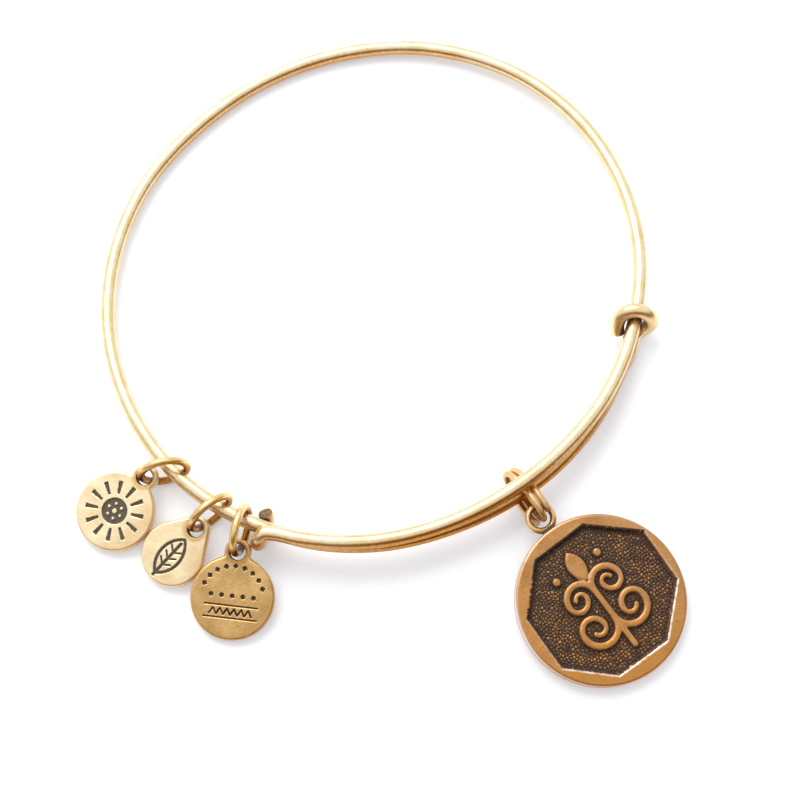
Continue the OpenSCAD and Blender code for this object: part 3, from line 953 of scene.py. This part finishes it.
def drop_outline(p):
    """Two round ends and their common tangents."""
    b = (DROP_R - DROP_TOP_R) / DROP_HOLE_Y
    a = math.sqrt(1 - b * b)
    x, y = np.abs(p[:, 0]), p[:, 1]
    k = a * y - b * x
    beyond_side = a * x + b * y - DROP_R
    beyond_top = np.hypot(x, y - DROP_HOLE_Y) - DROP_TOP_R
    beyond = np.where(k > a * DROP_HOLE_Y, beyond_top, beyond_side)
    return np.where(k < 0, np.hypot(x, y) - DROP_R, beyond)

def leaf_cuts(p):
    """A leaf of two arcs with a stem and pairs of veins."""
    q = p - np.array([0, LEAF_Y])
    centre = math.sqrt(LEAF_R**2 - LEAF_HALF**2)
    half_turn = math.degrees(math.asin(LEAF_HALF / LEAF_R))
    parts = [
        arc(q, (-centre, 0), LEAF_R, -half_turn, half_turn, LEAF_LINE),
        arc(q, (centre, 0), LEAF_R, 180 - half_turn, 180 + half_turn, LEAF_LINE),
        bar(q, *LEAF_STEM, LEAF_LINE),
    ]
    for y in VEIN_YS:
        parts += [bar(q, (0, y), (side * VEIN_OUT, y + VEIN_UP), VEIN_LINE) for side in (-1, 1)]
    return union(*parts)

make_charm(
    "drop_charm", PALE, lie=[-22.89, -32.02, 45.2, 50, 14.3], edge_r=DROP_R,
    outline=drop_outline, hole_y=DROP_HOLE_Y, cuts=leaf_cuts, seed=21,
)

# Lined charm

LINED_D = 9.5
LINED_HOLE_Y = 5.16
LOZENGES = 9
LOZENGES_AT = 3.55
LOZENGE_TURN = 17
LOZENGE_HALF = 0.31
DOTS = 5
DOT_STEP = 1.2
DOT_Y = 0.2
DOT_R = 0.25
RULE_YS = (-0.9, -2.3)
RULE_HALF = 3
RULE_LINE = 0.14
ZIGZAG_BARS = 12
ZIGZAG_STEP = 0.4
ZIGZAG_YS = (-1.95, -1.25)
ZIGZAG_LINE = 0.16

def lined_cuts(p):
    """Lozenges along the upper edge, a row of dots, and a zigzag between two rules."""
    parts = []
    for k in range(LOZENGES):
        turned = turned_back(p, 90 + (k - LOZENGES // 2) * LOZENGE_TURN)
        parts.append(lozenge(turned - np.array([LOZENGES_AT, 0]), LOZENGE_HALF))
    parts += [circle(p, ((k - DOTS // 2) * DOT_STEP, DOT_Y), DOT_R) for k in range(DOTS)]
    parts += [bar(p, (-RULE_HALF, y), (RULE_HALF, y), RULE_LINE) for y in RULE_YS]
    middle = ZIGZAG_BARS // 2
    corners = [((k - middle) * ZIGZAG_STEP, ZIGZAG_YS[k % 2]) for k in range(ZIGZAG_BARS + 1)]
    parts += [bar(p, start, end, ZIGZAG_LINE) for start, end in zip(corners, corners[1:])]
    return union(*parts)

make_charm(
    "lined_charm", BRONZE, lie=[-16.08, -37.03, 83.3, 82, 12.2],
    edge_r=LINED_D / 2, outline=tabbed(LINED_D, LINED_HOLE_Y), hole_y=LINED_HOLE_Y,
    cuts=lined_cuts, seed=31,
)

# Pendant

PENDANT_R = 9.7
PENDANT_T = 1.7
PENDANT_EDGE = 0.35
PENDANT_LYING = ([25.15, -37.40, 127, 127, 5.5], PENDANT_R, PENDANT_EDGE)
PENDANT_SPACING = 0.078
FIELD_DEPTH = 0.5
FIELD_SHARE = 0.91
# Columns: turn of a corner, distance beyond FIELD_SHARE as a share of the radius
FIELD_CORNERS = [
    [20, 0.045], [66, -0.02], [113, -0.03], [159, 0.00],
    [202, 0.025], [245, -0.01], [291, -0.015], [338, 0.025],
]
# The rounded shoulder above the field's wall
SHOULDER_OUT = 0.05
SHOULDER_R = 0.28
SCROLL_H = 0.45
SCROLL_CROWN = 0.045
# Columns: centre x, centre y, radius, start angle, end angle, width of the bar
SCROLL_ROWS = [
    [2.10, -2.30, 2.10, 180, 360, 0.85],
    [2.80, -2.30, 1.40, 0, 180, 0.75],
    [2.20, -2.30, 0.80, 180, 330, 0.62],
    [1.75, 1.30, 1.75, 0, 180, 0.80],
    [2.35, 1.30, 1.15, -180, 0, 0.70],
    [1.85, 1.30, 0.65, 20, 180, 0.58],
]
SCROLL_STEM = ((0, -6.1), (0, 2.2))
SCROLL_STEM_LINE = 0.76
SCROLL_DOT_AT = (2.9, 4.5)
SCROLL_DOT_R = 0.5
# The height of the leaf's middle, the radius of its sides and its half length
SCROLL_LEAF = (4.6, 2.3, 1.95)
# Distances at which points are moved onto the walls of the field and the scroll
PENDANT_WALLS = (0.13, 0.05, -0.04, -0.14)
# The leather-like ground, whose cells repeat after a table of them
CELL_STEP = 0.38
CELL_HEIGHT = 0.14
CELL_TABLE = 64
CELL_SEED = 5
# Ways in the bracelet's frame
FIELD_CLEAN_WAY = np.array([-0.1, 0.99, 0.0])
BORDER_LIT_WAY = np.array([0.55, -0.83, 0.0])
RIM_PALE_WAY = np.array([-0.95, 0.30, 0.0])
RIM_DARK_WAY = np.array([0.80, 0.10, 0.0])
LOW_WAY = np.array([0.1, -0.99, 0.0])
# Columns: wave length, seed
FACE_DENTS = (2.6, 41)
FACE_RIPPLES = (0.8, 42)
TARNISH_CLOUDS = (4.0, 43)
BORDER_BREAKS = (1.1, 44)
BORDER_CHIPS = (0.32, 45)
GROUND_CLOUDS = (2.5, 46)
BORDER_NOTCHES = (0.28, 47)

def pendant_outline(p):
    return circle(p, (0, 0), PENDANT_R)

def scroll(p):
    """Two curls on each side of a stem, with a leaf and two dots above."""
    q = np.column_stack([np.abs(p[:, 0]), p[:, 1]])
    parts = [arc(q, row[:2], *row[2:]) for row in SCROLL_ROWS]
    parts.append(bar(q, *SCROLL_STEM, SCROLL_STEM_LINE))
    parts.append(circle(q, SCROLL_DOT_AT, SCROLL_DOT_R))
    parts.append(lens(q, *SCROLL_LEAF))
    return union(*parts)

def octagon(p):
    """The pendant's sunk field."""
    return convex(p, [polar(PENDANT_R * (FIELD_SHARE + more), turn) for turn, more in FIELD_CORNERS])

def clean_side(p):
    """How cleanly the field's border was cast: best on the side away from the viewer."""
    turn = lying(*PENDANT_LYING)[0]
    clean_way = (turn.T @ FIELD_CLEAN_WAY)[:2]
    return rise(p @ clean_way / np.maximum(np.linalg.norm(p, axis=1), 1e-6), 0.15, 0.6)

def ragged(p):
    """The field's border as it was cast, with small notches along it."""
    return octagon(p) + 0.030 * (1 - 0.75 * clean_side(p)) * clouds(p, *BORDER_NOTCHES)

def pendant_relief(p):
    """Below zero on the sunk ground, with the scroll standing out of it."""
    return np.maximum(octagon(p) + 0.13, -scroll(p))

def stipple(p):
    """Rounded cells close together, like leather: their height, and how bare their tops are
    rubbed, which differs from cell to cell."""
    rng = np.random.default_rng(CELL_SEED)
    jitter = rng.uniform(0.12, 0.88, (CELL_TABLE, CELL_TABLE, 2))
    tall = rng.uniform(0.65, 1.0, (CELL_TABLE, CELL_TABLE))
    rubbed = rng.uniform(0.68, 1.0, (CELL_TABLE, CELL_TABLE))
    cell = np.floor(p / CELL_STEP).astype(int)
    near = np.full(len(p), 9.0)
    next_near = near.copy()
    high, bare = np.zeros(len(p)), np.zeros(len(p))
    for dx in (-2, -1, 0, 1, 2):
        for dy in (-2, -1, 0, 1, 2):
            at = cell + [dx, dy]
            i, j = at[:, 0] % CELL_TABLE, at[:, 1] % CELL_TABLE
            away = np.linalg.norm(p - (at + jitter[i, j]) * CELL_STEP, axis=1)
            first = away < near
            next_near = np.where(first, near, np.minimum(next_near, away))
            high, bare = np.where(first, tall[i, j], high), np.where(first, rubbed[i, j], bare)
            near = np.where(first, away, near)
    inward = (next_near - near) / CELL_STEP
    return high * rise(inward, -0.05, 0.65), bare * rise(inward, 0.02, 0.34)

def pendant_top(p):
    border, from_scroll = ragged(p), scroll(p)
    # A rounded shoulder down to half a slope, then the steep wall
    into = np.clip(SHOULDER_OUT - border, 0, SHOULDER_R * 0.9)
    shoulder = SHOULDER_R - np.sqrt(SHOULDER_R**2 - into**2)
    sunk = fade(border, -0.36, -0.10)
    raised = fade(from_scroll, -0.09, 0.07)
    ground = fade(border, -0.50, -0.24) * rise(from_scroll, 0.04, 0.2)
    crown = SCROLL_CROWN * rise(-from_scroll, 0.08, 0.4)
    z = -FIELD_DEPTH * sunk - shoulder * (1 - sunk) + sunk * raised * (SCROLL_H + crown)
    z = z + ground * (CELL_HEIGHT * stipple(p)[0] - CELL_HEIGHT / 2)
    rim = rise(border, 0.0, 0.15) * rise(-pendant_outline(p), 0.2, 0.5)
    dents = 0.008 * clouds(p, *FACE_DENTS) + 0.003 * clouds(p, *FACE_RIPPLES)
    return z + (rim + raised * sunk) * dents

def make_pendant():
    points, faces, flat, count = plate(
        pendant_outline, None, PENDANT_T, PENDANT_EDGE, PENDANT_SPACING,
        pendant_top, pendant_relief, PENDANT_WALLS,
    )
    placed = laid(points, *PENDANT_LYING)
    turn = lying(*PENDANT_LYING)[0]
    upper = np.arange(len(flat)) < count
    border, from_scroll, from_edge = ragged(flat), scroll(flat), -pendant_outline(flat)

    # The ground is dark between the tops of its cells, and darkest along the walls
    ground = fade(border, -0.34, -0.18) * rise(from_scroll, -0.02, 0.05)
    open_ground = 0.6 + 0.4 * rise(from_scroll, 0.1, 0.5) * rise(-border, 0.35, 0.9)
    bare = (0.56 + 0.05 * clouds(flat, *GROUND_CLOUDS)) * stipple(flat)[1] * open_ground
    patina_and_shade = np.where(upper, ground, 0) * (1.0 - bare)

    # The field's border is bright where it faces the light, at the lower right, and dark opposite
    border_way = np.column_stack([gradient(octagon, flat), np.zeros(len(flat))]) @ turn.T
    lit = rise(border_way @ BORDER_LIT_WAY, -0.35, 0.5)
    broken = 0.66 + 0.30 * clouds(flat, *BORDER_BREAKS) + 0.30 * clouds(flat, *BORDER_CHIPS)
    broken = np.clip(broken, 0, 1)
    shade_line = band(border, -0.36, -0.22, 0.05, 0.26)
    shade_line = shade_line * np.clip(broken + 0.5 * clean_side(flat), 0, 1)
    shade_line = shade_line * (1 - 0.7 * rise(border_way[:, 0], 0.3, 0.8))
    soft_shade = 0.30 * fade(border, 0.0, 0.75) * rise(border, -0.3, 0.0)
    shade = (1 - lit) * np.maximum(0.88 * shade_line, soft_shade)
    patina_and_shade = np.maximum(patina_and_shade, np.where(upper, shade, 0))
    lit = lit * broken
    border_line = band(border, -0.30, -0.18, 0.02, 0.15)

    # The outer edge gets a painted highlight at the left, towards the light, and painted shade at the
    # right
    rim_way = flat / np.linalg.norm(flat, axis=1, keepdims=True)
    rim_way = np.column_stack([rim_way, np.zeros(len(flat))]) @ turn.T
    outer_line = fade(from_edge, 0.0, 0.3)
    pale_edge = 0.22 + 0.45 * rise(rim_way @ RIM_PALE_WAY, 0.1, 0.9)
    far_edge = rise(rim_way @ RIM_DARK_WAY, 0.1, 0.7)
    patina_and_shade = np.maximum(patina_and_shade, 0.35 * fade(from_edge, 0.0, 0.2) * far_edge)

    # Wear along the scroll's edges; painted highlights on the lit border line and the pale outer edge
    scroll_edge = band(-from_scroll, 0.0, 0.06, 0.06, 0.16)
    wear_and_highlight = [0.18 * scroll_edge * (border < 0), 0.9 * border_line * lit, pale_edge * outer_line]
    wear_and_highlight = np.where(upper, np.maximum.reduce(wear_and_highlight), 0)
    # Browner towards the viewer's side and in random clouds, with painted shade on the unlit border
    # line and the right outer edge
    lower = rise((placed - placed.mean(0)) @ LOW_WAY / PENDANT_R, -0.6, 1.0)
    tarnish_and_shade = 0.75 * lower + 0.15 * clouds(flat, *TARNISH_CLOUDS) + 0.3 * border_line * (1 - lit)
    tarnish_and_shade = np.clip(np.maximum(tarnish_and_shade, 0.95 * outer_line * far_edge), 0, 1)
    add_piece(
        "round_pendant_smooth", placed, faces, COPPER, "round_pendant",
        patina_and_shade, wear_and_highlight, tarnish_and_shade,
    )

make_pendant()

# The pendant's eyelet and its solder, melted together

EYELET_WIRE_R = 0.74 / 2
EYELET_R = 1.45
EYELET_Y = 11.35
EYELET_TURN = -1.3
EYELET_STEPS = 72
EYELET_SIDES = 28
SOLDER = np.array([1.6, 0.75, 0.66])
SOLDER_INTO = 0.35
BLOCK_FACES = ((0, 1, 3, 2), (4, 6, 7, 5), (0, 4, 5, 1), (2, 3, 7, 6), (0, 2, 6, 4), (1, 5, 7, 3))
MELT_VOXEL = 0.055
SOFTEN_FACTOR = 0.5
SOFTEN_ROUNDS = 7

def eyelet_ring():
    """The eyelet's wire as a closed tube, in the pendant's own frame."""
    turns = np.linspace(0, 2 * np.pi, EYELET_STEPS, endpoint=False)
    around = np.linspace(0, 2 * np.pi, EYELET_SIDES, endpoint=False)
    us, vs = np.meshgrid(turns, around, indexing="ij")
    tube = EYELET_R + EYELET_WIRE_R * np.cos(vs)
    height = PENDANT_T / 2 + EYELET_WIRE_R * np.sin(vs)
    points = np.stack([tube * np.cos(us), EYELET_Y + tube * np.sin(us), height], -1).reshape(-1, 3)
    faces = []
    for i in range(EYELET_STEPS):
        here, there = i * EYELET_SIDES, (i + 1) % EYELET_STEPS * EYELET_SIDES
        for j in range(EYELET_SIDES):
            n = (j + 1) % EYELET_SIDES
            faces.append((here + j, there + j, there + n, here + n))
    return points, faces

def solder_corners():
    """The corners of a block of solder between the eyelet and the pendant's edge."""
    low = np.array([-SOLDER[0] / 2, PENDANT_R - SOLDER_INTO, (PENDANT_T - SOLDER[2]) / 2])
    corners = [(x, y, z) for x in (0, 1) for y in (0, 1) for z in (0, 1)]
    return low + np.array(corners) * SOLDER

def melted(piece):
    """The mesh of a piece once its parts are joined into one skin and softened."""
    remesh = piece.modifiers.new("melt", "REMESH")
    remesh.mode = "VOXEL"
    remesh.voxel_size = MELT_VOXEL * MM
    remesh.use_smooth_shade = True
    smooth = piece.modifiers.new("soften", "SMOOTH")
    smooth.factor = SOFTEN_FACTOR
    smooth.iterations = SOFTEN_ROUNDS
    bpy.context.view_layer.update()
    depsgraph = bpy.context.evaluated_depsgraph_get()
    mesh = bpy.data.meshes.new_from_object(piece.evaluated_get(depsgraph))
    piece.modifiers.clear()
    return mesh

def make_eyelet():
    points, faces = eyelet_ring()
    faces += [tuple(len(points) + k for k in corners) for corners in BLOCK_FACES]
    points = np.vstack([points, solder_corners()]) @ rotation(z=EYELET_TURN).T
    placed = laid(points, *PENDANT_LYING)
    rough = bpy.data.meshes.new("pendant_eyelet_rough")
    rough.from_pydata((placed * MM).tolist(), [], faces)
    piece = added("pendant_eyelet_smooth", rough)
    mesh = melted(piece)
    piece.data = mesh
    bpy.data.meshes.remove(rough)
    mesh.name = "pendant_eyelet_smooth"

    # Darker round the solder, and painted shade inside the ring
    turn, place = lying(*PENDANT_LYING)
    own = (np.array([v.co for v in mesh.vertices]) / MM - place) @ turn
    beyond = np.hypot(own[:, 0], own[:, 1]) - PENDANT_R
    from_wire = circle(own[:, :2], polar(EYELET_Y, 90 + EYELET_TURN), EYELET_R)
    inner = fade(from_wire, -0.28, 0.10)
    patina_and_shade = np.maximum(fade(beyond, 0.16, 0.50), 0.5 * inner)
    tarnish_and_shade = np.maximum(0.9 * inner, 0.8 * fade(beyond, 0.5, 1.3))
    finish_mesh(mesh, LINK_GOLD, patina_and_shade, 0 * patina_and_shade, tarnish_and_shade)
    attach(piece, "root")
    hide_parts("round_pendant")

make_eyelet()
